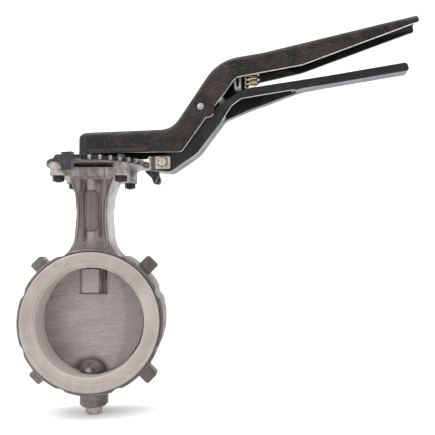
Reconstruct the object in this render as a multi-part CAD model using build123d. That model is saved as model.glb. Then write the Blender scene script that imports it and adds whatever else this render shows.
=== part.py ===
from build123d import *
import math
import os

os.makedirs("parts", exist_ok=True)

# Millimetres. X runs along the handle, Y along the flow, Z up along the stem.
# The origin is where the flow axis crosses the stem axis.

# ---- flow ring -------------------------------------------------------------
BORE_R = 50.8            # clear bore of the seat, 4 inch nominal
SEAT_OUTER_R = 56.0      # where the seat beds in the casting
SEAT_LIP_R = 65.0        # sealing lip that overlaps each face
FACE_HALF = 26.5         # half the face to face length over the lips
RING_HALF = 24.0         # half the width of the cast ring
RING_R = 68.3            # outside of the cast ring
BOLT_CIRCLE_R = 74.6     # pipe flange bolts
SCALLOP_R = 8.2          # relief in the rim for each pipe flange bolt
SCALLOP_COUNT = 8
LUG_R = 80.5             # tip of each locating lug
LUG_WIDE = 14.0
LUG_THICK = 12.0

# ---- neck and top flange ---------------------------------------------------
NECK_HALF_X = 14.8
NECK_HALF_Y = 20.0
FLANGE_LOW = 136.0
WEB_TOP = 144.2
PAD_TOP = 148.3
PAD_AT = 29.2            # plate bolts on a square of 58.4
PAD_SIZE = 15.0
BOSS_R = 13.6            # lower stem boss
BOSS_END = -82.0
STEM_BORE_R = 10.5

# ---- stems and disc --------------------------------------------------------
STEM_R = 8.0
SQUARE = 11.3            # square top of the upper stem
DISC_R = 50.4
DISC_HALF = 4.5
HUB_R = 14.6
HUB_HALF = 12.0

# ---- notch plate -----------------------------------------------------------
PLATE_LOW = PAD_TOP
PLATE_TOP = 152.3
PLATE_R = 47.5
RACK_R = 53.8            # rim that carries the notches
NOTCH_R = 47.6
NOTCH_WIDE = 6.5
NOTCH_STEP = 10.0
NOTCH_COUNT = 10

# ---- handle and trigger ----------------------------------------------------
HANDLE_HALF = 13.2
HANDLE_WALL = 2.6
NOSE_AT = -4.0           # centre of the rounded stem end
TRIGGER_HALF = 10.0
GRIP_HALF = 7.0           # the trigger narrows towards its grip
TRIGGER_WALL = 2.0
PIVOT_X = 107.8
PIVOT_Z = 201.4
PIVOT_R = 2.4
SPRING_X = 155.2
SPRING_R = 6.5
WIRE_R = 1.0
TOOTH_TIP = 54.2
TOOTH_HALF = 2.7
RIVET_X = 70.5
RIVET_Z = 150.2


def block(x0, x1, y0, y1, z0, z1):
    mid = Pos((x0 + x1) / 2, (y0 + y1) / 2, (z0 + z1) / 2)
    return mid * Box(x1 - x0, y1 - y0, z1 - z0)


def post(radius, z0, z1, x=0.0, y=0.0):
    return Pos(x, y, (z0 + z1) / 2) * Cylinder(radius, z1 - z0)


def bar(radius, y0, y1, x=0.0, z=0.0):
    return Pos(x, (y0 + y1) / 2, z) * Rot(90, 0, 0) * Cylinder(radius, y1 - y0)


def corner(before, here, after):
    """Tangent points and middle of the arc that rounds one corner."""
    a = Vector(before[0], before[1])
    b = Vector(here[0], here[1])
    c = Vector(after[0], after[1])
    back = (a - b).normalized()
    ahead = (c - b).normalized()
    half = math.acos(max(-1.0, min(1.0, back.dot(ahead)))) / 2
    reach = here[2] / math.tan(half)
    middle = b + (back + ahead).normalized() * (here[2] / math.sin(half))
    crest = middle + (b - middle).normalized() * here[2]
    return b + back * reach, crest, b + ahead * reach


def outline(corners):
    """Closed face through (u, v, radius) corners, each rounded by its radius."""
    count = len(corners)
    ends = []
    for i, here in enumerate(corners):
        if here[2] > 0:
            ends.append(corner(corners[i - 1], here, corners[(i + 1) % count]))
        else:
            ends.append((Vector(here[0], here[1]),) * 3)
    edges = []
    for i, (start, crest, stop) in enumerate(ends):
        if corners[i][2] > 0:
            edges.append(ThreePointArc(start, crest, stop))
        nxt = ends[(i + 1) % count][0]
        if (nxt - stop).length > 1e-6:
            edges.append(Line(stop, nxt))
    return make_face(Wire(edges))


def from_side(corners, y0, y1):
    """Outline in X and Z, thick from y0 to y1."""
    return Pos(0, y1, 0) * extrude(Plane.XZ * outline(corners), amount=y1 - y0)


def inset(corners, depth):
    """Move an open run of corners sideways by depth, to its right hand."""
    moved = []
    last = len(corners) - 1
    for i, here in enumerate(corners):
        b = Vector(here[0], here[1])
        dirs = []
        if i > 0:
            dirs.append((b - Vector(*corners[i - 1][:2])).normalized())
        if i < last:
            dirs.append((Vector(*corners[i + 1][:2]) - b).normalized())
        normals = [Vector(d.Y, -d.X) for d in dirs]
        mean = normals[0]
        if len(normals) == 2:
            mean = (normals[0] + normals[1]).normalized()
        stretch = depth / mean.dot(normals[0])
        radius = here[2]
        if len(dirs) == 2 and radius > 0:
            turn = dirs[0].X * dirs[1].Y - dirs[0].Y * dirs[1].X
            radius = radius - depth if turn < 0 else radius + depth
        moved.append((b.X + mean.X * stretch, b.Y + mean.Y * stretch, max(radius, 0.0)))
    return moved


def around(shape, count, first=0.0):
    step = 360.0 / count
    return [Rot(0, -(first + step * i), 0) * shape for i in range(count)]


REST_TURN = -10.0         # the handle stands one notch away from closed


# ---- the casting -----------------------------------------------------------
def make_neck():
    right = [(44, 44, 0), (17.2, 70, 26), (NECK_HALF_X, 102, 50), (16.6, 120, 20), (22.3, 138, 0)]
    left = [(-x, z, r) for x, z, r in reversed(right)]
    front = from_side(right + left, -40, 40)
    deep = [(23.5, 40, 0), (22.5, 60, 10), (NECK_HALF_Y, 78, 30), (NECK_HALF_Y, 122, 20), (22.3, 138, 0)]
    flat = [(-y, z, r) for y, z, r in reversed(deep)]
    side = Pos(-60, 0, 0) * extrude(Plane.YZ * outline(deep + flat), amount=120)
    neck = front & side
    rising = neck.edges().filter_by(lambda e: abs(e.tangent_at(0.5).Z) > 0.5)
    return fillet(rising, 3.5)


def make_top_flange():
    web = extrude(Pos(0, 0, FLANGE_LOW) * RectangleRounded(61, 61, 10), amount=WEB_TOP - FLANGE_LOW)
    pads = []
    for x in (-PAD_AT, PAD_AT):
        for y in (-PAD_AT, PAD_AT):
            square = Pos(x, y, FLANGE_LOW) * RectangleRounded(PAD_SIZE, PAD_SIZE, 6.4)
            pads.append(extrude(square, amount=PAD_TOP - FLANGE_LOW))
    return web + pads


def make_body():
    ring = bar(RING_R, -RING_HALF, RING_HALF)
    ring = chamfer(ring.edges().filter_by(GeomType.CIRCLE), 1.2)
    lug = block(58, LUG_R, -LUG_THICK / 2, LUG_THICK / 2, -LUG_WIDE / 2, LUG_WIDE / 2)
    outer = lug.edges().filter_by(Axis.Y).sort_by(Axis.X)[-2:]
    lug = fillet(outer, 2.5)
    body = ring + around(lug, 4, 45)
    scallop = bar(SCALLOP_R, -40, 40, x=BOLT_CIRCLE_R)
    body = body - around(scallop, SCALLOP_COUNT, 22.5)
    boss = post(BOSS_R, BOSS_END, -50)
    boss = chamfer(boss.edges().group_by(Axis.Z)[0], 2.0)
    body = body + boss + make_neck() + make_top_flange()
    pad = extrude(Plane.XZ * Pos(0, 104) * Rot(0, 0, 90) * SlotOverall(38, 12), amount=21.4)
    body = body + (pad & block(-10, 10, -22, -18, 80, 130))
    body = body - bar(SEAT_OUTER_R, -40, 40)
    body = body - post(STEM_BORE_R, 40, 160) - post(STEM_BORE_R, -76, -40)
    body = body - post(9.0, BOSS_END - 1, -70)
    for x in (-PAD_AT, PAD_AT):
        for y in (-PAD_AT, PAD_AT):
            body = body - post(3.3, 120, 160, x, y)
    return body


def make_seat():
    flat = outline([
        (BORE_R, -FACE_HALF, 0), (SEAT_LIP_R, -FACE_HALF, 0), (SEAT_LIP_R, -RING_HALF - 0.02, 0),
        (SEAT_OUTER_R - 0.02, -RING_HALF - 0.02, 0), (SEAT_OUTER_R - 0.02, RING_HALF + 0.02, 0),
        (SEAT_LIP_R, RING_HALF + 0.02, 0), (SEAT_LIP_R, FACE_HALF, 0), (BORE_R, FACE_HALF, 0)])
    seat = revolve(flat, Axis.Y)
    rims = seat.edges().filter_by(GeomType.CIRCLE)
    seat = chamfer(rims.filter_by(lambda e: abs(abs(e.center().Y) - FACE_HALF) < 0.01), 0.9)
    return seat - post(STEM_R + 0.4, -70, 70)


# ---- stems, disc and what holds them ---------------------------------------
def make_disc():
    ball = Sphere(DISC_R)
    plate = ball & bar(60, -DISC_HALF, DISC_HALF)
    upper = post(HUB_R, 25.5, 56) & block(-20, 20, -HUB_HALF, HUB_HALF, 20, 60)
    lower = post(HUB_R, -56, -37) & block(-20, 20, -HUB_HALF, HUB_HALF, -60, -30)
    lower = lower & bar(HUB_R, -20, 20, z=-37 - HUB_R)
    disc = plate + (upper & ball) + (lower & ball)
    disc = disc - post(STEM_R + 0.02, 27, 60) - post(STEM_R + 0.02, -60, -40)
    for z in (33, 43):
        disc = disc - bar(2.52, 0, 20, z=z)
    return disc


def make_upper_stem():
    stem = post(STEM_R, 27.2, 160.5)
    top = block(-SQUARE / 2, SQUARE / 2, -SQUARE / 2, SQUARE / 2, 160.5, 177)
    top = chamfer(top.edges().group_by(Axis.Z)[-1], 0.8)
    stem = stem + (top & post(STEM_R, 160, 178))
    for z in (33, 43):
        stem = stem - bar(2.52, 3, 20, z=z)
    return stem


def make_lower_stem():
    stem = post(STEM_R, -74.1, -40.2)
    return chamfer(stem.edges().group_by(Axis.Z)[0], 1.0)


def make_disc_screws():
    screw = bar(2.5, 3.1, HUB_HALF - 0.6)
    socket = Pos(0, HUB_HALF - 0.6, 0) * extrude(Plane.XZ * RegularPolygon(1.5, 6), amount=2.2)
    screw = screw - socket
    return Compound(children=[Pos(0, 0, 33) * screw, Pos(0, 0, 43) * screw])


def make_ring(inner, outer, z0, z1):
    return post(outer, z0, z1) - post(inner, z0 - 1, z1 + 1)


def make_upper_bushing():
    sleeve = post(STEM_BORE_R - 0.02, 112, 146) + post(13.0, WEB_TOP + 0.02, 147.2)
    return sleeve - post(STEM_R + 0.05, 100, 160)


def make_stem_seals():
    low = make_ring(STEM_R + 0.05, STEM_BORE_R - 0.02, 79.4, 83.4)
    high = make_ring(STEM_R + 0.05, STEM_BORE_R - 0.02, 84.0, 88.0)
    return Compound(children=[low, high])


def make_bottom_plug():
    shank = post(8.95, BOSS_END - 0.5, -76.0)
    head = extrude(Pos(0, 0, -89.5) * RegularPolygon(7.2, 6, major_radius=False), amount=7.4)
    return shank + head


# ---- notch plate and its fasteners -----------------------------------------
def wedge(radius, first, last, z0, z1):
    """Sector between two angles in degrees, counted from +X towards +Y."""
    points = [(0.0, 0.0)]
    steps = 8
    for i in range(steps + 1):
        a = math.radians(first + (last - first) * i / steps)
        points.append((1.6 * radius * math.cos(a), 1.6 * radius * math.sin(a)))
    fan = extrude(Pos(0, 0, z0) * make_face(Polyline(*points, close=True)), amount=z1 - z0)
    return post(radius, z0, z1) & fan


def make_notch_plate():
    plate = post(PLATE_R, PLATE_LOW, PLATE_TOP)
    plate = plate + wedge(RACK_R, -123, 24, PLATE_LOW, PLATE_TOP)
    half = NOTCH_WIDE / 2
    cut = block(NOTCH_R, 70, -half, half, PLATE_LOW - 1, PLATE_TOP + 1)
    cut = fillet(cut.edges().filter_by(Axis.Z).sort_by(Axis.X)[:2], 1.0)
    for i in range(NOTCH_COUNT):
        plate = plate - Rot(0, 0, -NOTCH_STEP * i) * cut
    plate = plate - post(STEM_R + 1.0, 140, 160)
    for x in (-PAD_AT, PAD_AT):
        for y in (-PAD_AT, PAD_AT):
            plate = plate - post(3.2, 140, 160, x, y)
    plate = plate - Rot(0, 0, -108) * block(49.0, 70, -5.4, 5.4, 140, 160)
    return plate


def make_stop_block():
    stop = block(49.05, 54.0, -5.3, 5.3, 138.6, 155.0)
    stop = fillet(stop.edges().filter_by(Axis.Z).sort_by(Axis.X)[-2:], 0.8)
    return Rot(0, 0, -108) * stop


def make_plate_bolts():
    head = extrude(Pos(0, 0, PLATE_TOP) * RegularPolygon(5.0, 6, major_radius=False), amount=3.9)
    head = head & Pos(0, 0, 148.9) * Cone(11.4, 2.4, 18)
    bolt = head + post(3.0, 130.1, PLATE_TOP + 1)
    return Compound(children=[Pos(x, y, 0) * bolt
                              for x in (-PAD_AT, PAD_AT) for y in (-PAD_AT, PAD_AT)])


def make_plate_nuts():
    nut = extrude(Pos(0, 0, FLANGE_LOW - 5.2) * RegularPolygon(5.0, 6, major_radius=False), amount=5.2)
    nut = nut - post(3.02, 120, 140)
    return Compound(children=[Pos(x, y, 0) * nut
                              for x in (-PAD_AT, PAD_AT) for y in (-PAD_AT, PAD_AT)])


# ---- handle ----------------------------------------------------------------
CROWN = [(-17.2, 182.1, 0), (79.0, 182.1, 22), (124.0, 246.6, 42), (166.7, 251.3, 100),
         (304.8, 276.8, 0)]
HANDLE_EDGE = [(307.0, 269.4, 2.0), (301.6, 268.2, 4.0), (203.0, 236.3, 60), (139.5, 225.0, 8),
               (121.2, 202.0, 2.0), (119.3, 191.9, 5.0), (112.3, 190.9, 2.0), (89.2, 159.2, 5.0),
               (-17.2, 161.4, 0)]


def from_above(half):
    long = block(NOSE_AT, 400, -half, half, 100, 400)
    return long + post(half, 100, 400, NOSE_AT)


def round_crown(shape, run, radius):
    """Round the long edges that lie along the crown of a channel."""
    line = Wire(Polyline(*[(x, 0, z) for x, z, _ in run]))
    picked = []
    for edge in shape.edges():
        p = edge.position_at(0.5)
        near = line.distance_to(Vertex(p.X, 0, p.Z))
        if near < 4.5 and abs(edge.tangent_at(0.5).Y) < 0.5 and p.X < 296:
            picked.append(edge)
        elif near < 4.5 and p.X < NOSE_AT and p.Z > 175:
            picked.append(edge)
    return fillet(picked, radius)


def make_handle():
    full = from_side(CROWN + HANDLE_EDGE, -HANDLE_HALF, HANDLE_HALF) & from_above(HANDLE_HALF)
    full = round_crown(full, CROWN, 5.5)
    tip = CROWN[-1]
    soft = CROWN[:-1] + [(tip[0], tip[1], 2.4)] + HANDLE_EDGE
    full = full & from_side(soft, -20, 20)
    run = inset(CROWN, HANDLE_WALL)
    end = run[-1]
    drop = [(end[0] + 40, end[1] + 7.4, 0), (end[0] + 40, 190, 0), (150, 140, 0), (-17.2, 140, 0)]
    inner = HANDLE_HALF - HANDLE_WALL
    hollow = from_side(run[:-1] + drop, -inner, inner) & from_above(inner)
    hollow = round_crown(hollow, run, 2.9)
    handle = full - hollow
    arch = from_side([(132.4, 216.4, 0), (141.2, 228.2, 10), (203, 236.3, 0), (203, 220, 0),
                      (132.4, 205, 0)], -HANDLE_HALF - 1, -5)
    handle = handle - arch
    low = from_side([(12, 163, 0), (17, 157.4, 2), (48.5, 157.4, 2), (52.5, 163, 0)], inner, HANDLE_HALF)
    deep = from_side([(118.6, 204, 0), (123.2, 203.4, 1), (146.6, 218.8, 4), (151.5, 226.5, 0),
                      (155, 232, 0), (140, 232, 0), (126, 212, 0)], inner, HANDLE_HALF)
    handle = handle + low + deep
    handle = handle - bar(PIVOT_R + 0.02, -20, 20, PIVOT_X, PIVOT_Z)
    screw = Pos(-14, 0, 172) * Rot(0, 90, 0) * Cylinder(3.55, 12)
    return handle - screw


def make_handle_hub():
    hub = post(9.4, 154.1, 178.8)
    hub = hub + block(NOSE_AT - 9.9, 6, -5, 5, 162, 177.2)
    hub = hub & from_above(HANDLE_HALF - HANDLE_WALL - 0.05)
    hub = hub - post(STEM_R + 0.05, 150, 160.6)
    half = SQUARE / 2 + 0.05
    hub = hub - block(-half, half, -half, half, 160.55, 177.6)
    return hub - Pos(-13, 0, 172) * Rot(0, 90, 0) * Cylinder(3.55, 15)


def make_hub_set_screw():
    screw = Pos(-11.3, 0, 172) * Rot(0, 90, 0) * Cylinder(3.5, 11)
    socket = extrude(Plane.YZ * Pos(0, 172) * RegularPolygon(2.3, 6), amount=3.2)
    return screw - Pos(-16.9, 0, 0) * socket


def make_pivot_pin():
    pin = bar(PIVOT_R, -HANDLE_HALF - 0.5, HANDLE_HALF + 0.5, PIVOT_X, PIVOT_Z)
    cap = bar(3.2, HANDLE_HALF + 0.02, HANDLE_HALF + 1.4, PIVOT_X, PIVOT_Z)
    cap = fillet(cap.edges().sort_by(Axis.Y)[-1:], 1.0)
    return pin + cap + mirror(cap, Plane.XZ)


def make_stop_bar():
    return from_side([(123.0, 213.6, 1), (122.6, 207.4, 1), (127.4, 207.2, 1), (128.2, 213.0, 1)],
                     -HANDLE_HALF + HANDLE_WALL + 0.02, HANDLE_HALF - HANDLE_WALL - 0.02)


def make_inner_bracket(handle):
    whole = from_side([(136.4, 255, 0), (139.6, 217.2, 1.5), (145.4, 218.8, 1.5), (145.0, 255, 0)],
                      -7.4, -1.4)
    hollow = from_side([(138.5, 257, 0), (141.2, 219.8, 0.5), (143.6, 220.4, 0.5), (143.2, 257, 0)],
                       -9, 0)
    foot = from_side([(136.8, 255, 0), (137.2, 241, 0), (147.4, 242.4, 0), (147.4, 257, 0)], -7.4, -1.4)
    strip = (whole - hollow) + foot
    return below_crown(strip, handle)


def below_crown(shape, handle):
    """Trim a piece to the underside of the crown."""
    kept = (shape - handle).solids()
    return sorted(kept, key=lambda s: s.center().Z)[0]


def make_spring_peg(handle):
    return below_crown(post(7.2, 244.3, 249, SPRING_X) + post(4.6, 238, 249, SPRING_X), handle)


def make_trigger_spring():
    height = 28.6
    coil = Helix(pitch=4.0, height=height, radius=SPRING_R)
    wire = Plane(origin=coil @ 0, z_dir=coil % 0) * Circle(WIRE_R)
    return Pos(SPRING_X, 0, 214.6) * sweep(wire, path=coil, is_frenet=True)


# ---- trigger ---------------------------------------------------------------
KEEL = [(59.4, 142.6, 0), (77.5, 140.2, 9), (104.0, 157.6, 24), (129.2, 190.2, 8),
        (152.0, 199.4, 40), (201.5, 215.2, 60), (295.6, 226.7, 0)]
TRIGGER_TOP = [(298.2, 228.6, 2.0), (296.4, 235.1, 3.0), (147.7, 217.0, 18), (117.4, 198.1, 4),
               (101.0, 197.9, 6), (87.3, 165.0, 12), (75.9, 157.1, 10), (59.4, 156.4, 1.5)]


def taper(half, grip):
    """Outline from above of a channel that narrows towards its grip."""
    side = [(50, half, 0), (168, half, 40), (226, grip, 40), (310, grip, 0)]
    other = [(x, -y, r) for x, y, r in reversed(side)]
    return extrude(outline(side + other), amount=400, both=True)


def make_trigger():
    full = from_side(KEEL + TRIGGER_TOP, -TRIGGER_HALF, TRIGGER_HALF)
    full = full + bar(8.6, -TRIGGER_HALF, TRIGGER_HALF, PIVOT_X, PIVOT_Z)
    full = full & taper(TRIGGER_HALF, GRIP_HALF)
    line = Wire(Polyline(*[(x, 0, z) for x, z, _ in KEEL]))
    low = []
    for edge in full.edges():
        p = edge.position_at(0.5)
        if line.distance_to(Vertex(p.X, 0, p.Z)) < 6.0 and abs(edge.tangent_at(0.5).Y) < 0.5:
            if p.X > 60 and p.X < 296 and abs(p.Y) > 3:
                low.append(edge)
    full = fillet(low, 2.4)
    run = inset(KEEL, -TRIGGER_WALL)
    far = run[-1]
    inner = TRIGGER_HALF - TRIGGER_WALL
    first = (run[0][0] - 12, run[0][1] + 1.5, 0)
    over = [(far[0] - 0.5, far[1], 0), (far[0] - 0.5, 300, 0), (first[0], 300, 0)]
    hollow = from_side([first] + run[1:-1] + over, -inner, inner)
    hollow = hollow & taper(inner, GRIP_HALF - TRIGGER_WALL)
    trigger = full - hollow
    window = from_side([(127.9, 188.9, 0), (136.6, 202.0, 6), (145.6, 208.4, 8), (166, 211.0, 20),
                        (196.5, 214.9, 0), (198, 205, 0), (130, 180, 0)], -TRIGGER_HALF - 1, 0)
    trigger = trigger - window
    trigger = trigger - bar(PIVOT_R + 0.08, -20, 20, PIVOT_X, PIVOT_Z)
    return trigger - bar(2.22, -20, 20, RIVET_X, RIVET_Z)


def make_pivot_sleeve():
    inner = TRIGGER_HALF - TRIGGER_WALL - 0.05
    tube = bar(4.6, -inner, inner, PIVOT_X, PIVOT_Z)
    return tube - bar(PIVOT_R + 0.08, -20, 20, PIVOT_X, PIVOT_Z)


def make_spring_seat(trigger):
    inner = TRIGGER_HALF - TRIGGER_WALL - 0.04
    bridge = block(SPRING_X - 8.5, SPRING_X + 8.5, -inner, inner, 211.6, 213.5)
    return bridge + post(4.6, 213, 218.0, SPRING_X)


def make_latch_clip():
    strap = block(57.4, 59.2, -11.6, 11.6, 143.6, 155.4)
    near = block(57.4, 77.8, -11.6, -TRIGGER_HALF - 0.05, 143.6, 155.4)
    near = fillet(near.edges().filter_by(Axis.Y).sort_by(Axis.X)[-2:], 1.6)
    near = near - block(60.4, 63.6, -12, -10.9, 140, 160)
    tooth = block(TOOTH_TIP, 57.6, -TOOTH_HALF, TOOTH_HALF, 144.4, 156.2)
    tip = tooth.edges().filter_by(Axis.Z).sort_by(Axis.X)[:2]
    clip = strap + near + mirror(near, Plane.XZ) + fillet(tip, 0.5)
    return clip - bar(2.22, -20, 20, RIVET_X, RIVET_Z)


def make_latch_rivet():
    shank = bar(2.2, -12.0, 12.0, RIVET_X, RIVET_Z)
    cap = bar(4.3, 11.62, 12.9, RIVET_X, RIVET_Z)
    cap = fillet(cap.edges().sort_by(Axis.Y)[-1:], 0.8)
    return shank + cap + mirror(cap, Plane.XZ)


def make_lock_finger(trigger):
    hook = from_side([(50.6, 142.6, 0.5), (51.9, 143.5, 0.5), (61.5, 143.5, 0), (63.2, 142.6, 0),
                      (66.2, 133.4, 1.5), (64.4, 129.8, 1.2), (59.6, 130.4, 1.5),
                      (57.4, 136.2, 4)], -3.0, 3.0)
    kept = (hook - trigger).solids()
    return sorted(kept, key=lambda s: s.volume)[-1]


# ---- the assembly ----------------------------------------------------------
def make_all():
    handle = make_handle()
    trigger = make_trigger()
    return {
        "valve_body": make_body(),
        "seat": make_seat(),
        "notch_plate": make_notch_plate(),
        "stop_block": make_stop_block(),
        "plate_bolts": make_plate_bolts(),
        "plate_nuts": make_plate_nuts(),
        "upper_bushing": make_upper_bushing(),
        "spacer_sleeve": make_ring(STEM_R + 0.6, STEM_BORE_R - 0.02, 88.6, 111.6),
        "stem_seals": make_stem_seals(),
        "neck_bushing": make_ring(STEM_R + 0.05, STEM_BORE_R - 0.02, 57, 79),
        "bottom_bushing": make_ring(STEM_R + 0.05, STEM_BORE_R - 0.02, -74, -57),
        "thrust_pad": post(10.3, -75.9, -74.5),
        "bottom_plug": make_bottom_plug(),
        "thrust_washer": make_ring(STEM_R + 1.0, 14.0, PLATE_TOP + 0.02, 153.7),
        "disc": make_disc(),
        "upper_stem": make_upper_stem(),
        "lower_stem": make_lower_stem(),
        "disc_screws": make_disc_screws(),
        "handle": handle,
        "handle_hub": make_handle_hub(),
        "hub_set_screw": make_hub_set_screw(),
        "pivot_pin": make_pivot_pin(),
        "stop_bar": make_stop_bar(),
        "inner_bracket": make_inner_bracket(handle),
        "spring_peg": make_spring_peg(handle),
        "trigger_spring": make_trigger_spring(),
        "trigger": trigger,
        "pivot_sleeve": make_pivot_sleeve(),
        "spring_seat": make_spring_seat(trigger),
        "latch_clip": make_latch_clip(),
        "latch_rivet": make_latch_rivet(),
        "lock_finger": make_lock_finger(trigger),
    }


TURNING = ("disc", "upper_stem", "lower_stem", "disc_screws", "handle", "handle_hub",
           "hub_set_screw", "pivot_pin", "stop_bar", "inner_bracket", "spring_peg",
           "trigger_spring", "trigger", "pivot_sleeve", "spring_seat", "latch_clip",
           "latch_rivet", "lock_finger")



def turned(shape):
    """Stand a piece of the turning assembly at its rest angle."""
    turn = Rot(0, 0, REST_TURN)
    if shape.children:
        return Compound(children=[turn * piece for piece in shape.children])
    return turn * shape


for name, shape in make_all().items():
    if name in TURNING:
        shape = turned(shape)
    export_step(shape, "parts/" + name + ".step")
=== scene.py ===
import math

import bmesh
import bpy
from mathutils import Matrix, Vector


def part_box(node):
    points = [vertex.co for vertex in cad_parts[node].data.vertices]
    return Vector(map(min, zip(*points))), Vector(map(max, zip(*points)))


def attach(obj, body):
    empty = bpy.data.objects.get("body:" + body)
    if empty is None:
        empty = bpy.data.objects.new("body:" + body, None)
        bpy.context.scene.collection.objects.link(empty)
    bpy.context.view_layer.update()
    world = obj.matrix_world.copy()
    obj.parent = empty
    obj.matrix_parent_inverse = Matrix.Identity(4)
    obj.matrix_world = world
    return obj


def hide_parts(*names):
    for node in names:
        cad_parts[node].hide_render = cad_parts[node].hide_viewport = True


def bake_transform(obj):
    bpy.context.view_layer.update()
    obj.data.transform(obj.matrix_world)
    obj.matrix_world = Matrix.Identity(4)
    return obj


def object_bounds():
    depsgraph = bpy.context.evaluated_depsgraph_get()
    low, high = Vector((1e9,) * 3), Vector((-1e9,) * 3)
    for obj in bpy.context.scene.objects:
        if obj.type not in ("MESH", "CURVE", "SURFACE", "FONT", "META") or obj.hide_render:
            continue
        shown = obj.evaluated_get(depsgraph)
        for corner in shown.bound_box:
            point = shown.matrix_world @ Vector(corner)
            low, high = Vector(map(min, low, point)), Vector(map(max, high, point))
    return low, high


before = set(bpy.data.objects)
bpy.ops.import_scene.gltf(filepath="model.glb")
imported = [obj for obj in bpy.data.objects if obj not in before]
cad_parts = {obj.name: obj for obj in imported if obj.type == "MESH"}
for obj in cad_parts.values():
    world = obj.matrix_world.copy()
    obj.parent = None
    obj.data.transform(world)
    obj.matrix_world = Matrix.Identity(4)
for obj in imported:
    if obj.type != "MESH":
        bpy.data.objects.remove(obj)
cad_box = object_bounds()

# Lengths are in metres, with +Y to the rear and +Z up the stem. The handle and disc stand
# REST_TURN degrees away from closed, and their finishes count X along the handle.
MM = 0.001
REST_TURN = 10.0

BORE_R = 50.8 * MM
LIP_R = 65 * MM                 # outside of the seat's lip
NECK_HALF = 14.8 * MM           # half the neck's width where it is narrowest
FLANGE_LOW = 136 * MM           # underside of the top flange
RACK_R = 53.8 * MM              # tips of the notch plate's teeth
HUB_HALF = 14.6 * MM            # half the width of the disc's upper hub
HUB_LOW = 25.5 * MM             # and its lower end
HUB_SHADE_Z = -50 * MM              # middle of the painted shade round the disc's lower hub
HANDLE_INNER = 10.6 * MM        # half the gap between the handle's walls
PIVOT_X, PIVOT_Z = 107.8 * MM, 201.4 * MM
RIVET_X, RIVET_Z = 70.5 * MM, 150.2 * MM

PAD_Z = 104 * MM                # middle of the blank oval pad on the neck
PAD_R = 6 * MM                  # its round ends
PAD_RUN = 13 * MM               # half the straight between them
PAD_FACE = -21.4 * MM
RIM_SIDES = 32

WIRE_R = 0.8 * MM               # the trigger spring's wire
TURNS = 8
STEPS_PER_TURN = 20
WIRE_SIDES = 8


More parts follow.
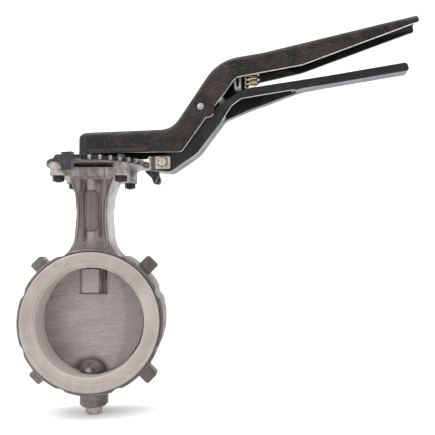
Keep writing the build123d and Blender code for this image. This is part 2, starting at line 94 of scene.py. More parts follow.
# ---- finishes ---------------------------------------------------------------
class Finish:
    """One finish, mixed from patterns that stay put on the metal."""

    def __init__(self, name, metal=0.0, rough=0.5, specular=0.5):
        self.material = bpy.data.materials.new(name)
        self.material.use_nodes = True
        self.tree = self.material.node_tree
        self.shader = self.tree.nodes["Principled BSDF"]
        self.set("Metallic", metal)
        self.set("Roughness", rough)
        self.set("Specular IOR Level", specular)
        self.spot = self.tree.nodes.new("ShaderNodeTexCoord")
        self.height = None

    def set(self, socket, value):
        self.shader.inputs[socket].default_value = value

    def put(self, kind, **inputs):
        node = self.tree.nodes.new(kind)
        for key, value in inputs.items():
            self.feed(node.inputs[key.replace("_", " ")], value)
        return node

    def feed(self, socket, value):
        if isinstance(value, bpy.types.NodeSocket):
            self.tree.links.new(value, socket)
        else:
            socket.default_value = value

    # places on the piece
    def along(self, what="Object"):
        """Positions or normals, turned so that X runs along the handle."""
        node = self.put("ShaderNodeMapping", Vector=self.spot.outputs[what])
        node.vector_type = "POINT" if what == "Object" else "VECTOR"
        node.inputs["Rotation"].default_value = (0, 0, math.radians(REST_TURN))
        return node.outputs["Vector"]

    def stretched(self, stretch=(1, 1, 1), lean=0.0, where=None):
        """Lean the pattern about Y first, and then stretch it."""
        turned = self.put("ShaderNodeMapping", Vector=where or self.spot.outputs["Object"])
        turned.inputs["Rotation"].default_value = (0, math.radians(lean), 0)
        node = self.put("ShaderNodeMapping", Vector=turned.outputs["Vector"])
        node.inputs["Scale"].default_value = stretch
        return node.outputs["Vector"]

    def part(self, axis, where=None):
        node = self.put("ShaderNodeSeparateXYZ", Vector=where or self.spot.outputs["Object"])
        return node.outputs[axis]

    def facing(self, axis, where=None):
        return self.part(axis, where or self.spot.outputs["Normal"])

    def rings(self, out):
        """A place that changes quickly with the distance out, and slowly with the height."""
        node = self.put("ShaderNodeCombineXYZ", X=self.times(out, 420.0))
        self.feed(node.inputs["Y"], self.times(self.part("Z"), 9.0))
        return node.outputs["Vector"]

    # sums
    def maths(self, kind, a, b=0.0):
        node = self.tree.nodes.new("ShaderNodeMath")
        node.operation = kind
        self.feed(node.inputs[0], a)
        self.feed(node.inputs[1], b)
        return node.outputs[0]

    def plus(self, a, b):
        return self.maths("ADD", a, b)

    def minus(self, a, b):
        return self.maths("SUBTRACT", a, b)

    def larger(self, a, b):
        return self.maths("MAXIMUM", a, b)

    def times(self, a, b, *more):
        product = self.maths("MULTIPLY", a, b)
        for factor in more:
            product = self.maths("MULTIPLY", product, factor)
        return product

    def size(self, value):
        return self.maths("ABSOLUTE", value)

    def radius(self, a, b):
        return self.maths("SQRT", self.plus(self.times(a, a), self.times(b, b)))

    # soft steps and patterns
    def step(self, value, low, high, start=0.0, stop=1.0):
        node = self.tree.nodes.new("ShaderNodeMapRange")
        node.interpolation_type = "SMOOTHSTEP"
        for key, given in (("Value", value), ("From Min", low), ("From Max", high),
                           ("To Min", start), ("To Max", stop)):
            self.feed(node.inputs[key], given)
        return node.outputs["Result"]

    def between(self, value, low, high, soft):
        """One between low and high, fading out over soft on both sides."""
        return self.times(self.step(value, low - soft, low), self.step(value, high + soft, high))

    def cloud(self, scale, detail=3.0, rough=0.55, where=None, warp=0.0):
        node = self.put("ShaderNodeTexNoise", Vector=where or self.spot.outputs["Object"],
                        Scale=scale, Detail=detail, Roughness=rough, Distortion=warp)
        return node.outputs["Fac"]

    # what the shader gets
    def mix(self, share, a, b):
        node = self.tree.nodes.new("ShaderNodeMix")
        node.data_type = "RGBA"
        self.feed(node.inputs["Factor"], share)
        self.feed(node.inputs[6], a if not isinstance(a, tuple) else (*a, 1.0))
        self.feed(node.inputs[7], b if not isinstance(b, tuple) else (*b, 1.0))
        return node.outputs[2]

    def colour(self, value):
        self.feed(self.shader.inputs["Base Color"], value)

    def roughness(self, value):
        self.feed(self.shader.inputs["Roughness"], value)

    def raised(self, height, strength, depth):
        node = self.put("ShaderNodeBump", Height=height, Strength=strength, Distance=depth)
        if self.height is not None:
            self.feed(node.inputs["Normal"], self.height)
        self.height = node.outputs["Normal"]
        self.feed(self.shader.inputs["Normal"], self.height)


def neck_streaks(f, across, side, up):
    """The neck is drawn with upright streaks, a rail down each side and a smooth pad in front."""
    drawn = f.cloud(1, 4, 0.62, where=f.stretched((260, 190, 8)))
    broad = f.cloud(1, 2, 0.5, where=f.stretched((95, 70, 5)))
    tint = f.mix(f.step(drawn, 0.43, 0.58), (0.030, 0.021, 0.022), (0.140, 0.108, 0.103))
    tint = f.mix(f.step(broad, 0.54, 0.68, 0.0, 0.6), tint, (0.22, 0.185, 0.175))

    half = f.plus(f.step(up, 108 * MM, 146 * MM, NECK_HALF, 24 * MM),
                  f.step(up, 95 * MM, 60 * MM, 0.0, 3.2 * MM))
    inset = f.minus(f.size(across), half)
    front = f.step(f.size(f.facing("Y")), 0.45, 0.75)
    # Painted highlight: a lighter strip down the middle of the neck's front.
    middle = f.step(f.size(f.plus(across, 1 * MM)), 4.2 * MM, 1.2 * MM, 0.0, 0.6)
    tint = f.mix(middle, tint, (0.33, 0.295, 0.285))
    uneven = f.cloud(1, 3, 0.6, where=f.stretched((40, 40, 330)))
    foot = f.step(up, 84 * MM, 74 * MM)
    tint = f.mix(f.times(foot, f.step(uneven, 0.45, 0.62, 0.1, 0.6)), tint, (0.235, 0.19, 0.18))
    rail = f.step(inset, -3.0 * MM, -2.3 * MM, 0.0, 0.65)
    tint = f.mix(f.times(rail, front), tint, (0.26, 0.22, 0.20))
    # Painted shade: the frame grooves down each side of the neck are darkened.
    groove_shade = f.larger(f.between(inset, -3.3 * MM, -2.6 * MM, 0.5 * MM),
                      f.between(inset, -0.9 * MM, -0.3 * MM, 0.4 * MM))
    tint = f.mix(f.times(groove_shade, front, 0.85), tint, (0.022, 0.016, 0.016))
    lit = f.step(f.facing("X"), 0.55, 0.85)
    tint = f.mix(f.times(lit, 0.85), tint, (0.36, 0.36, 0.365))

    past = f.larger(f.minus(f.size(f.minus(up, PAD_Z)), PAD_RUN), 0.0)
    from_pad = f.radius(across, past)
    near = f.times(front, f.step(side, -8 * MM, -12 * MM))
    shade = f.times(f.between(from_pad, PAD_R, PAD_R + 0.7 * MM, 0.5 * MM), near)
    tint = f.mix(f.times(shade, 0.75), tint, (0.03, 0.023, 0.022))
    pad = f.step(from_pad, PAD_R, PAD_R - 0.5 * MM)
    smooth = f.mix(f.step(drawn, 0.42, 0.58), (0.085, 0.069, 0.065), (0.125, 0.104, 0.099))
    return f.mix(f.times(pad, near, 0.9), tint, smooth)


def cast_aluminium():
    """A grey brown skin, streaks on the neck, brighter metal with a painted sheen on the top
    flange, and painted shade on the right and at the seat's lip.
    """
    f = Finish("cast_aluminium", metal=0.3, rough=0.5)
    across, side, up = (f.part(axis) for axis in ("X", "Y", "Z"))
    skin = f.cloud(230, 5, 0.6)
    tint = f.mix(f.step(skin, 0.30, 0.72), (0.092, 0.077, 0.070), (0.172, 0.148, 0.136))
    # Painted shade: faces turned to +X, and the body towards +X, are darkened.
    tint = f.mix(f.times(f.step(f.facing("X"), 0.2, 0.7), 0.6), tint, (0.055, 0.049, 0.048))
    tint = f.mix(f.step(across, 25 * MM, 62 * MM, 0.0, 0.5), tint, (0.050, 0.045, 0.044))
    out = f.radius(across, up)
    # Painted shade: a dark line on the casting round the seat's lip, where the two meet.
    lip_gap_shade = f.between(out, LIP_R - 0.1 * MM, LIP_R + 0.8 * MM, 0.6 * MM)
    tint = f.mix(f.times(lip_gap_shade, 0.9), tint, (0.016, 0.013, 0.012))

    neck = f.times(f.step(up, 62 * MM, 84 * MM),
                   f.step(up, FLANGE_LOW + 1 * MM, FLANGE_LOW - 3 * MM))
    tint = f.mix(neck, tint, neck_streaks(f, across, side, up))

    flange = f.mix(f.step(skin, 0.38, 0.66), (0.185, 0.165, 0.15), (0.40, 0.375, 0.35))
    sheen = f.cloud(1, 3, 0.6, where=f.stretched((210, 120, 16)))
    flange = f.mix(f.step(sheen, 0.55, 0.68, 0.0, 0.6), flange, (0.55, 0.53, 0.51))
    web = f.times(f.step(f.size(across), 21 * MM, 18 * MM), f.step(side, -15 * MM, -24 * MM))
    web_tint = f.mix(f.step(sheen, 0.45, 0.62), (0.10, 0.076, 0.08), (0.34, 0.29, 0.31))
    flange = f.mix(f.times(web, 0.6), flange, web_tint)
    tint = f.mix(f.step(up, FLANGE_LOW - 3 * MM, FLANGE_LOW + 1 * MM), tint, flange)

    stain = f.step(f.cloud(46, 4, 0.6), 0.52, 0.72, 0.0, 0.5)
    f.colour(f.mix(stain, tint, (0.085, 0.07, 0.064)))
    f.roughness(f.step(f.cloud(90, 4, 0.6), 0.3, 0.75, 0.34, 0.6))
    f.raised(f.cloud(900, 3, 0.6), 0.3, 0.4 * MM)
    f.raised(f.cloud(120, 3, 0.5), 0.16, 1.0 * MM)
    return f.material


def seat_rubber():
    """Pale, with faint turned rings on the lip and a lighter bore."""
    f = Finish("seat_rubber", rough=0.4, specular=0.4)
    out = f.radius(f.part("X"), f.part("Z"))
    haze = f.cloud(30, 4, 0.6, warp=0.6)
    tint = f.mix(f.step(haze, 0.32, 0.7), (0.235, 0.200, 0.184), (0.335, 0.292, 0.272))
    rings = f.cloud(1, 3, 0.6, where=f.rings(out))
    tint = f.mix(f.step(rings, 0.42, 0.7, 0.0, 0.45), tint, (0.40, 0.36, 0.335))
    tint = f.mix(f.step(rings, 0.40, 0.25, 0.0, 0.5), tint, (0.17, 0.143, 0.13))
    inside = f.step(out, BORE_R + 0.8 * MM, BORE_R + 0.1 * MM)
    tint = f.mix(f.times(inside, 0.8), tint, (0.50, 0.445, 0.425))
    f.colour(f.mix(f.step(f.cloud(600, 2, 0.5), 0.5, 0.8, 0.0, 0.25), tint, (0.2, 0.17, 0.155)))
    f.roughness(f.step(f.cloud(80, 3, 0.6), 0.3, 0.7, 0.3, 0.52))
    f.raised(rings, 0.10, 0.4 * MM)
    f.raised(f.cloud(70, 3, 0.5), 0.08, 1.0 * MM)
    return f.material


def brushed_disc():
    """Brushed across, with painted shade to the right, round the lower hub, on the upper hub's
    right and under it, and a painted highlight on the lower hub.
    """
    f = Finish("brushed_disc", metal=0.35, rough=0.42)
    here = f.along()
    across, side, up = (f.part(axis, here) for axis in ("X", "Y", "Z"))
    lay = f.cloud(1, 5, 0.7, where=f.stretched((60, 300, 1100), 4, here))
    fine = f.cloud(1, 4, 0.7, where=f.stretched((240, 300, 1500), -12, here))
    wide = f.cloud(1, 3, 0.6, where=f.stretched((18, 30, 60), 4, here))
    # Painted shade: the disc darkens towards the right.
    right_shade = f.step(across, -30 * MM, 40 * MM)
    tint = f.mix(right_shade, (0.300, 0.258, 0.243), (0.222, 0.194, 0.184))
    tint = f.mix(f.step(wide, 0.42, 0.68, 0.0, 0.45), tint, (0.175, 0.148, 0.139))
    tint = f.mix(f.step(lay, 0.54, 0.70, 0.0, 0.55), tint, (0.40, 0.355, 0.335))
    tint = f.mix(f.step(lay, 0.45, 0.32, 0.0, 0.6), tint, (0.125, 0.105, 0.10))
    tint = f.mix(f.step(fine, 0.48, 0.36, 0.0, 0.5), tint, (0.115, 0.096, 0.090))

    # Painted shade: a darker crescent at the disc's right, outside a big circle centred left of
    # the middle.
    from_left = f.radius(f.plus(across, 62 * MM), up)
    edge = f.step(from_left, 92 * MM, 97 * MM, 0.0, 0.4)
    tint = f.mix(edge, tint, (0.105, 0.093, 0.086))
    # Painted shade: an uneven dark patch round the lower hub.
    from_hub_shade = f.radius(f.times(f.plus(across, 2 * MM), 0.78), f.plus(up, -HUB_SHADE_Z))
    patch = f.step(from_hub_shade, 17.5 * MM, 11 * MM)
    uneven = f.cloud(1, 3, 0.6, where=f.stretched((130, 100, 260), 25, here))
    dark = f.times(patch, f.step(uneven, 0.3, 0.6, 0.95, 0.7))
    tint = f.mix(dark, tint, (0.036, 0.029, 0.028))
    # Painted highlight: a small light spot on the lower hub.
    from_hub_highlight = f.radius(f.plus(across, 1.5 * MM), f.plus(up, -HUB_SHADE_Z - 2.5 * MM))
    tint = f.mix(f.step(from_hub_highlight, 4.2 * MM, 1.0 * MM, 0.0, 0.8), tint, (0.42, 0.37, 0.35))

    # Painted shade: the upper hub's faces turned to the right are darker, with faint ribs.
    faces_right = f.step(f.facing("X", f.along("Normal")), 0.25, 0.6)
    hub_side_shade = f.times(faces_right, f.step(up, 20 * MM, 26 * MM))
    ribs = f.cloud(1, 2, 0.5, where=f.stretched((500, 200, 60), 0, here))
    ribbed_shade = f.mix(f.step(ribs, 0.4, 0.6), (0.060, 0.048, 0.046), (0.16, 0.137, 0.13))
    tint = f.mix(hub_side_shade, tint, ribbed_shade)
    # Painted shadow: a dark line on the plate just under the upper hub.
    hub_shadow_line = f.times(
        f.between(up, HUB_LOW - 1.1 * MM, HUB_LOW + 0.8 * MM, 0.5 * MM),
        f.step(f.size(across), HUB_HALF + 0.4 * MM, HUB_HALF - 0.4 * MM),
        f.step(side, -3 * MM, -4 * MM))
    tint = f.mix(f.times(hub_shadow_line, 0.8), tint, (0.05, 0.04, 0.038))

    nicks = f.step(f.cloud(230, 4, 0.7), 0.62, 0.74, 0.0, 0.35)
    f.colour(f.mix(nicks, tint, (0.10, 0.085, 0.08)))
    f.roughness(f.step(lay, 0.3, 0.7, 0.32, 0.55))
    f.raised(lay, 0.16, 0.25 * MM)
    return f.material


def worn_paint(name, deep, brown, glint, edge, lean, speckle=0.75):
    """Dark paint over pressed steel, with patches, specks and scratches, and its bare cut edge."""
    f = Finish(name, rough=0.46, specular=0.25)
    here = f.along()
    patch = f.cloud(42, 5, 0.62, warp=0.5)
    tint = f.mix(f.step(patch, 0.40, 0.64), deep, brown)
    speck = f.cloud(520, 3, 0.7)
    tint = f.mix(f.step(speck, 0.57, 0.68, 0.0, speckle), tint, glint)
    tint = f.mix(f.step(f.cloud(210, 4, 0.7), 0.62, 0.72, 0.0, 0.5), tint, glint)
    scratch = f.cloud(1, 4, 0.7, where=f.stretched((24, 420, 800), lean, here))
    tint = f.mix(f.step(scratch, 0.61, 0.69, 0.0, 0.7), tint, glint)
    scuff = f.cloud(1, 3, 0.6, where=f.stretched((620, 420, 26), lean + 8, here))
    tint = f.mix(f.step(scuff, 0.65, 0.72, 0.0, 0.35), tint, glint)
    f.roughness(f.step(f.cloud(75, 4, 0.6), 0.3, 0.72, 0.34, 0.6))
    f.raised(f.cloud(420, 3, 0.6), 0.12, 0.3 * MM)
    f.raised(scratch, 0.06, 0.2 * MM)
    shadow = tuple(0.65 * channel for channel in edge)
    bare = f.mix(f.step(f.cloud(260, 3, 0.6), 0.36, 0.58), shadow, edge)
    return f, tint, bare, here


def handle_paint():
    """Brown black, with pressed lines near the stem and at the pivot in painted shade, painted
    shade inside and at the left end, and bare lower edges with a painted highlight.
    """
    f, tint, bare, here = worn_paint(
        "handle_paint", deep=(0.0035, 0.0031, 0.0030), brown=(0.0215, 0.0148, 0.0125),
        glint=(0.072, 0.057, 0.047), edge=(0.66, 0.64, 0.65), lean=10)
    across, side, up = (f.part(axis, here) for axis in ("X", "Y", "Z"))
    wavy = f.plus(up, f.times(f.cloud(80, 2, 0.5), 2.0 * MM))
    crease = f.times(f.between(wavy, 165.7 * MM, 166.3 * MM, 0.5 * MM),
                     f.between(across, -6 * MM, 48 * MM, 8 * MM))
    joint = f.times(f.between(across, 66.8 * MM, 67.2 * MM, 0.35 * MM),
                    f.step(up, 167.5 * MM, 166.5 * MM))
    from_pivot = f.radius(f.plus(across, -PIVOT_X), f.plus(up, -PIVOT_Z))
    boss = f.times(f.between(from_pivot, 10.2 * MM, 10.8 * MM, 0.5 * MM),
                   f.step(across, 105 * MM, 112 * MM))
    # Painted shade darkens the crease and the ring round the pivot boss; the joint line is
    # darkened too.
    pressed = f.larger(f.times(crease, 0.9), f.larger(f.times(joint, 0.7), f.times(boss, 0.5)))
    band = f.times(f.between(up, 161.6 * MM, 165.2 * MM, 0.8 * MM),
                   f.between(across, -8 * MM, 50 * MM, 8 * MM))
    tint = f.mix(f.times(band, 0.4), tint, (0.060, 0.043, 0.041))
    # Painted shade on the handle's rounded left end.
    tint = f.mix(f.step(across, 0.0, -9 * MM, 0.0, 0.65), tint, (0.004, 0.0035, 0.0035))
    tint = f.mix(pressed, tint, (0.0025, 0.002, 0.002))
    # Painted shade: the inner faces of the channel's walls are near black.
    inside_shade = f.step(f.size(side), HANDLE_INNER + 0.3 * MM, HANDLE_INNER + 0.1 * MM, 0.0, 0.85)
    tint = f.mix(inside_shade, tint, (0.003, 0.003, 0.003))

    # The walls' lower cut edges are bare steel, painted bright as a highlight where they catch the
    # light.
    cut = f.times(
        f.step(f.size(f.facing("Y", f.along("Normal"))), 0.6, 0.35),
        f.step(f.facing("Z"), -0.18, -0.42),
        f.step(f.size(side), HANDLE_INNER - 0.3 * MM, HANDLE_INNER + 0.1 * MM),
        f.step(side, 6 * MM, -6 * MM, 0.3, 1.0))
    f.colour(f.mix(cut, tint, bare))
    f.raised(f.minus(0.0, pressed), 0.5, 0.4 * MM)
    return f.material


def trigger_paint():
    """Charcoal outside and worn bare underneath, with a painted highlight along the near wall's
    lower edge.
    """
    f, tint, bare, here = worn_paint(
        "trigger_paint", deep=(0.0040, 0.0040, 0.0046), brown=(0.0115, 0.0105, 0.0120),
        glint=(0.040, 0.037, 0.042), edge=(0.115, 0.124, 0.130), lean=7, speckle=0.4)
    across, side = f.part("X", here), f.part("Y", here)
    under = f.step(f.facing("Z"), -0.30, -0.60)
    not_wall = f.step(f.size(f.facing("Y", f.along("Normal"))), 0.75, 0.45)
    lay = f.cloud(1, 3, 0.6, where=f.stretched((12, 500, 60), 7, here))
    bare = f.mix(f.step(lay, 0.35, 0.65, 0.0, 0.6), bare, (0.185, 0.197, 0.205))
    # Painted highlight: the brightest strip along the near wall's lower edge.
    rim = f.times(f.between(across, 128 * MM, 199 * MM, 1 * MM),
                  f.step(side, -7.2 * MM, -8.0 * MM))
    bare = f.mix(rim, bare, (0.62, 0.61, 0.68))
    lip = f.times(f.step(across, 190 * MM, 200 * MM), f.step(side, -4.2 * MM, -5.6 * MM))
    bare = f.mix(lip, bare, (0.25, 0.245, 0.27))
    chin = f.times(f.step(across, 120 * MM, 112 * MM), f.step(side, -6 * MM, -8 * MM))
    bare = f.mix(f.times(chin, 0.8), bare, (0.34, 0.355, 0.36))
    f.colour(f.mix(f.times(under, not_wall), tint, bare))
    return f.material


def black_plate():
    """Black above, pale below on the right, with worn tooth tips."""
    f = Finish("black_plate", metal=0.2, rough=0.42, specular=0.35)
    patch = f.cloud(120, 4, 0.6)
    tint = f.mix(f.step(patch, 0.4, 0.7), (0.008, 0.0078, 0.008), (0.024, 0.022, 0.021))
    across = f.part("X")
    out = f.radius(across, f.part("Y"))
    pale = f.mix(f.step(f.cloud(60, 4, 0.6), 0.35, 0.7), (0.13, 0.118, 0.112), (0.27, 0.25, 0.24))
    right = f.step(across, -27 * MM, -19 * MM)
    tint = f.mix(f.times(f.step(f.facing("Z"), -0.5, -0.9), right), tint, pale)
    upright = f.step(f.size(f.facing("Z")), 0.5, 0.25)
    teeth = f.times(upright, f.step(across, -4 * MM, -2 * MM))
    tips = f.times(teeth, f.step(out, RACK_R - 0.9 * MM, RACK_R - 0.4 * MM))
    worn = f.step(f.cloud(420, 3, 0.6), 0.35, 0.6)
    bright = f.mix(worn, (0.11, 0.10, 0.095), (0.27, 0.25, 0.242))
    tint = f.mix(tips, tint, bright)
    flank = f.times(teeth, f.between(out, RACK_R - 3.2 * MM, RACK_R - 0.9 * MM, 0.5 * MM))
    f.colour(f.mix(f.times(flank, 0.45), tint, bright))
    f.roughness(f.step(patch, 0.3, 0.7, 0.32, 0.55))
    f.raised(f.cloud(500, 3, 0.6), 0.1, 0.3 * MM)
    return f.material


def black_fastener():
    f = Finish("black_fastener", metal=0.3, rough=0.42, specular=0.4)
    patch = f.step(f.cloud(260, 4, 0.6), 0.4, 0.7)
    tint = f.mix(patch, (0.007, 0.0066, 0.0064), (0.026, 0.024, 0.023))
    f.colour(f.mix(f.step(f.cloud(700, 3, 0.7), 0.6, 0.7, 0.0, 0.5), tint, (0.09, 0.085, 0.082)))
    f.roughness(f.step(f.cloud(400, 3, 0.6), 0.3, 0.7, 0.3, 0.55))
    f.raised(f.cloud(800, 2, 0.6), 0.08, 0.2 * MM)
    return f.material


def stop_steel():
    """Blue black, with painted light on the faces turned to the right."""
    f = Finish("stop_steel", metal=0.2, rough=0.45, specular=0.35)
    patch = f.step(f.cloud(200, 4, 0.6), 0.4, 0.7)
    tint = f.mix(patch, (0.007, 0.007, 0.0085), (0.022, 0.021, 0.024))
    lit = f.step(f.facing("X"), 0.35, 0.75)
    f.colour(f.mix(f.times(lit, 0.7), tint, (0.14, 0.145, 0.17)))
    f.roughness(f.step(f.cloud(300, 3, 0.6), 0.3, 0.7, 0.34, 0.55))
    f.raised(f.cloud(500, 3, 0.6), 0.1, 0.3 * MM)
    return f.material


def hooked_steel():
    """Black, with painted highlight streaks that run down the finger."""
    f = Finish("hooked_steel", metal=0.25, rough=0.36, specular=0.5)
    here = f.along()
    patch = f.step(f.cloud(300, 4, 0.6), 0.4, 0.7)
    tint = f.mix(patch, (0.006, 0.006, 0.0065), (0.02, 0.02, 0.022))
    highlight_streak = f.cloud(1, 3, 0.6, where=f.stretched((420, 300, 60), -20, here))
    f.colour(f.mix(f.step(highlight_streak, 0.52, 0.62, 0.0, 0.6), tint, (0.20, 0.205, 0.215)))
    f.roughness(f.step(highlight_streak, 0.3, 0.7, 0.3, 0.5))
    f.raised(highlight_streak, 0.1, 0.3 * MM)
    return f.material


def latch_metal():
    """Tan, with painted shadow round the rivet, in its dimple, and in the gap beside its pad."""
    f = Finish("latch_metal", metal=0.3, rough=0.42)
    here = f.along()
    across, side, up = (f.part(axis, here) for axis in ("X", "Y", "Z"))
    mottle = f.step(f.cloud(340, 4, 0.65), 0.36, 0.62)
    tint = f.mix(mottle, (0.19, 0.148, 0.115), (0.42, 0.37, 0.315))
    tint = f.mix(f.step(f.cloud(130, 3, 0.6), 0.5, 0.7, 0.0, 0.5), tint, (0.52, 0.47, 0.42))
    out = f.radius(f.plus(across, -RIVET_X), f.plus(up, -RIVET_Z))
    # Painted shadow round the rivet head and in its dimple.
    ring = f.times(f.between(out, 4.15 * MM, 4.9 * MM, 0.35 * MM),
                   f.step(side, -9 * MM, -10.5 * MM))
    dip = f.step(out, 1.6 * MM, 0.7 * MM, 0.0, 0.5)
    tint = f.mix(f.larger(f.times(ring, 0.8), dip), tint, (0.065, 0.047, 0.038))
    # Painted shadow in the gap beside the pad.
    gap = f.between(across, 59.4 * MM, 63.4 * MM, 0.4 * MM)
    f.colour(f.mix(f.times(gap, 0.85), tint, (0.045, 0.03, 0.024)))
    f.roughness(f.step(f.cloud(180, 4, 0.6), 0.3, 0.7, 0.32, 0.55))
    f.raised(f.cloud(700, 3, 0.6), 0.12, 0.2 * MM)
    return f.material


def plain_metal(name, dark, light, rough, metal=0.8):
    f = Finish(name, metal=metal, rough=rough)
    f.colour(f.mix(f.step(f.cloud(320, 4, 0.6), 0.35, 0.68), dark, light))
    f.roughness(f.step(f.cloud(180, 4, 0.6), 0.3, 0.7, rough - 0.1, rough + 0.14))
    f.raised(f.cloud(700, 3, 0.6), 0.08, 0.2 * MM)
    return f.material


def seal_rubber():
    f = Finish("seal_rubber", rough=0.6)
    bloom = f.step(f.cloud(500, 2, 0.5), 0.4, 0.7)
    f.colour(f.mix(bloom, (0.006, 0.006, 0.006), (0.018, 0.018, 0.018)))
    f.raised(f.cloud(900, 2, 0.5), 0.1, 0.2 * MM)
    return f.material


def paint_nodes():
    """Give every CAD node its finish: plated steel, unless it is listed here."""
    brass = plain_metal("turned_brass", (0.36, 0.26, 0.11), (0.55, 0.42, 0.22), 0.35)
    steel = plain_metal("plated_steel", (0.26, 0.225, 0.215), (0.50, 0.44, 0.42), 0.36, 0.5)
    wire = plain_metal("spring_wire", (0.26, 0.19, 0.11), (0.72, 0.62, 0.45), 0.3, 0.5)
    zinc = plain_metal("zinc_steel", (0.165, 0.170, 0.185), (0.36, 0.37, 0.40), 0.4, 0.3)
    latch, bolt = latch_metal(), black_fastener()
    finishes = {
        "valve_body": cast_aluminium(), "seat": seat_rubber(), "disc": brushed_disc(),
        "handle": handle_paint(), "trigger": trigger_paint(), "notch_plate": black_plate(),
        "stop_block": stop_steel(), "lock_finger": hooked_steel(), "handle_hub": bolt,
        "spring_peg": bolt, "spring_seat": bolt, "plate_bolts": bolt, "plate_nuts": bolt,
        "hub_set_screw": bolt, "pivot_sleeve": bolt,
        "upper_bushing": brass, "spacer_sleeve": brass, "neck_bushing": brass,
        "bottom_bushing": brass, "thrust_pad": brass, "thrust_washer": brass,
        "stem_seals": seal_rubber(), "latch_clip": latch, "latch_rivet": latch,
        "trigger_spring": wire, "inner_bracket": zinc, "stop_bar": zinc,
    }
    for name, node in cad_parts.items():
        node.data.materials.clear()
        node.data.materials.append(finishes.get(name, steel))


# ---- edges ------------------------------------------------------------------
BROKEN_EDGES = {
    "valve_body": 0.9 * MM, "handle": 0.35 * MM, "trigger": 0.3 * MM, "notch_plate": 0.35 * MM,
    "stop_block": 0.4 * MM, "latch_clip": 0.25 * MM, "lock_finger": 0.4 * MM,
    "plate_bolts": 0.4 * MM, "plate_nuts": 0.4 * MM, "disc": 0.7 * MM, "bottom_plug": 0.5 * MM,
}


def soften(name, width, angle=32):
    """Break the sharp edges of a CAD node a little."""
    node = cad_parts[name]
    weld = node.modifiers.new("close", "WELD")
    weld.merge_threshold = 0.002 * MM
    bevel = node.modifiers.new("break_edges", "BEVEL")
    bevel.width = width
    bevel.segments = 2
    bevel.limit_method = "ANGLE"
    bevel.angle_limit = math.radians(angle)
    bevel.use_clamp_overlap = True
    bevel.harden_normals = False


# ---- pieces too fine for the CAD ----------------------------------------------
def add_piece(name, points, faces, finish=None):
    mesh = bpy.data.meshes.new(name)
    mesh.from_pydata(points, [], faces)
    piece = bpy.data.objects.new(name, mesh)
    bpy.context.collection.objects.link(piece)
    if finish:
        mesh.materials.append(finish)
    return piece


def pad_rim():
    """The narrow raised edge round the blank oval pad cast into the neck."""
    points, faces = [], []
    for radius in (PAD_R - 0.8 * MM, PAD_R + 0.05 * MM):
        for i in range(RIM_SIDES):
            turn = 2 * math.pi * (i + 0.5) / RIM_SIDES
            run = PAD_RUN if math.sin(turn) > 0 else -PAD_RUN
            height = PAD_Z + run + radius * math.sin(turn)
            points.append((radius * math.cos(turn), PAD_FACE, height))
    for i in range(RIM_SIDES):
        j = (i + 1) % RIM_SIDES
        faces.append((i, j, RIM_SIDES + j, RIM_SIDES + i))
    edge_metal = plain_metal("pad_edge", (0.060, 0.048, 0.046), (0.150, 0.125, 0.118), 0.5, 0.2)
    rim = add_piece("pad_rim", points, faces, edge_metal)
    thick = rim.modifiers.new("thick", "SOLIDIFY")
    thick.thickness = 0.8 * MM
    thick.offset = 0.0
    edge = rim.modifiers.new("edge", "BEVEL")
    edge.width = 0.2 * MM
    edge.segments = 2
    edge.limit_method = "ANGLE"
    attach(rim, "body")


def coil_height(i, steps, bottom, top):
    """Height of the wire's middle at a step: each end turn is closed, the rest rise evenly."""
    share = min(max((i - STEPS_PER_TURN) / (steps - 2 * STEPS_PER_TURN), 0.0), 1.0)
    first = min(i / STEPS_PER_TURN, 1.0) * 2 * WIRE_R
    last = min((steps - i) / STEPS_PER_TURN, 1.0) * 2 * WIRE_R
    return bottom + first + (top - bottom - 4 * WIRE_R) * share + (2 * WIRE_R - last)


def coil_spring():
    """The trigger's spring: open turns between two closed end turns."""
    low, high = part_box("trigger_spring")
    bottom, top = low[2] + WIRE_R, high[2] - WIRE_R
    middle = ((low[0] + high[0]) / 2, (low[1] + high[1]) / 2)
    radius = (high[0] - low[0]) / 2 - WIRE_R
    steps = TURNS * STEPS_PER_TURN
    points, faces = [], []
    for i in range(steps + 1):
        turn = 2 * math.pi * i / STEPS_PER_TURN
        height = coil_height(i, steps, bottom, top)
        for side in range(WIRE_SIDES):
            round_wire = 2 * math.pi * side / WIRE_SIDES
            out = radius + WIRE_R * math.cos(round_wire)
            points.append((middle[0] + out * math.cos(turn), middle[1] + out * math.sin(turn),
                           height + WIRE_R * math.sin(round_wire)))
    for i in range(steps):
        for side in range(WIRE_SIDES):
            a, b = i * WIRE_SIDES + side, i * WIRE_SIDES + (side + 1) % WIRE_SIDES
            faces.append((a, a + WIRE_SIDES, b + WIRE_SIDES, b))
    faces.append(tuple(range(WIRE_SIDES)))
    faces.append(tuple(steps * WIRE_SIDES + side for side in reversed(range(WIRE_SIDES))))
    spring = add_piece("coil_spring", points, faces, bpy.data.materials["spring_wire"])
    mesh = spring.data
    mesh.polygons.foreach_set("use_smooth", [len(face) == 4 for face in faces])
    solid = bmesh.new()
    solid.from_mesh(mesh)
    bmesh.ops.recalc_face_normals(solid, faces=solid.faces)
    solid.to_mesh(mesh)
    solid.free()
    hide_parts("trigger_spring")
    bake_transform(spring)


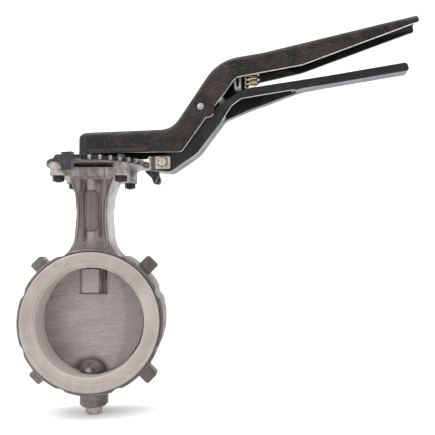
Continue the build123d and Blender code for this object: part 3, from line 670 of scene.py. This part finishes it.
# ---- stage, light and camera --------------------------------------------------
def make_stage():
    """A pale floor, just under the valve, that sweeps up into a wall behind it."""
    floor = cad_box[0][2] - 0.2 * MM
    profile = [(-4.0, 0.0), (1.2, 0.0), (1.75, 0.06), (2.15, 0.28), (2.35, 0.65), (2.4, 3.6)]
    rows = [[(x, y, floor + z) for y, z in profile] for x in (-4.0, 4.2)]
    count = len(profile)
    faces = [(i, count + i, count + i + 1, i + 1) for i in range(count - 1)]
    f = Finish("studio_white", rough=0.9, specular=0.1)
    f.colour(f.mix(f.step(f.cloud(2, 2, 0.5), 0.3, 0.7), (0.90, 0.90, 0.90), (0.93, 0.93, 0.93)))
    sweep = add_piece("studio_sweep", rows[0] + rows[1], faces, f.material)
    sweep.data.polygons.foreach_set("use_smooth", [True] * len(faces))


def make_lights():
    """Four soft panels on the valve and two on the wall, as name, place, size, power and aim."""
    valve = Vector((60 * MM, 0.0, 90 * MM))
    wall = Vector((0.1, 2.0, 0.4))
    panels = (
        ("top_panel", (-0.2, -0.45, 1.4), 1.5, 16, valve),
        ("left_panel", (-1.5, -0.9, 0.6), 1.2, 12, valve),
        ("right_panel", (1.4, -1.1, 0.3), 1.1, 6, valve),
        ("low_panel", (0.3, -1.6, -0.05), 0.9, 3.5, valve),
        ("back_panel", (-1.1, 0.5, 1.9), 1.6, 22, wall),
        ("back_fill", (1.3, 0.5, 1.6), 1.6, 22, wall),
    )
    for name, place, size, power, aim in panels:
        data = bpy.data.lights.new(name, "AREA")
        data.shape = "SQUARE"
        data.size = size
        data.energy = power
        lamp = bpy.data.objects.new(name, data)
        lamp.location = place
        lamp.rotation_euler = (aim - Vector(place)).to_track_quat("-Z", "Y").to_euler()
        bpy.context.collection.objects.link(lamp)
    world = bpy.data.worlds.new("studio_air")
    world.use_nodes = True
    air = world.node_tree.nodes["Background"]
    air.inputs["Color"].default_value = (1.0, 1.0, 1.0, 1.0)
    air.inputs["Strength"].default_value = 0.75
    bpy.context.scene.world = world


def make_camera():
    """In front of the valve and right of its stem, looking up a little."""
    place = (109.9 * MM, -522.9 * MM, 66.1 * MM)
    pan, tilt, roll = -1.10, 90 + 3.55, -0.25
    data = bpy.data.cameras.new("camera")
    data.sensor_width = 36.0
    data.lens = 43.75
    camera = bpy.data.objects.new("camera", data)
    turn = (Matrix.Rotation(math.radians(pan), 4, "Z")
            @ Matrix.Rotation(math.radians(tilt), 4, "X")
            @ Matrix.Rotation(math.radians(roll), 4, "Z"))
    camera.matrix_world = Matrix.Translation(place) @ turn
    bpy.context.collection.objects.link(camera)
    bpy.context.scene.camera = camera


paint_nodes()
for name, width in BROKEN_EDGES.items():
    soften(name, width)
pad_rim()
coil_spring()
make_stage()
make_lights()
make_camera()
bpy.context.scene.view_settings.view_transform = "Standard"
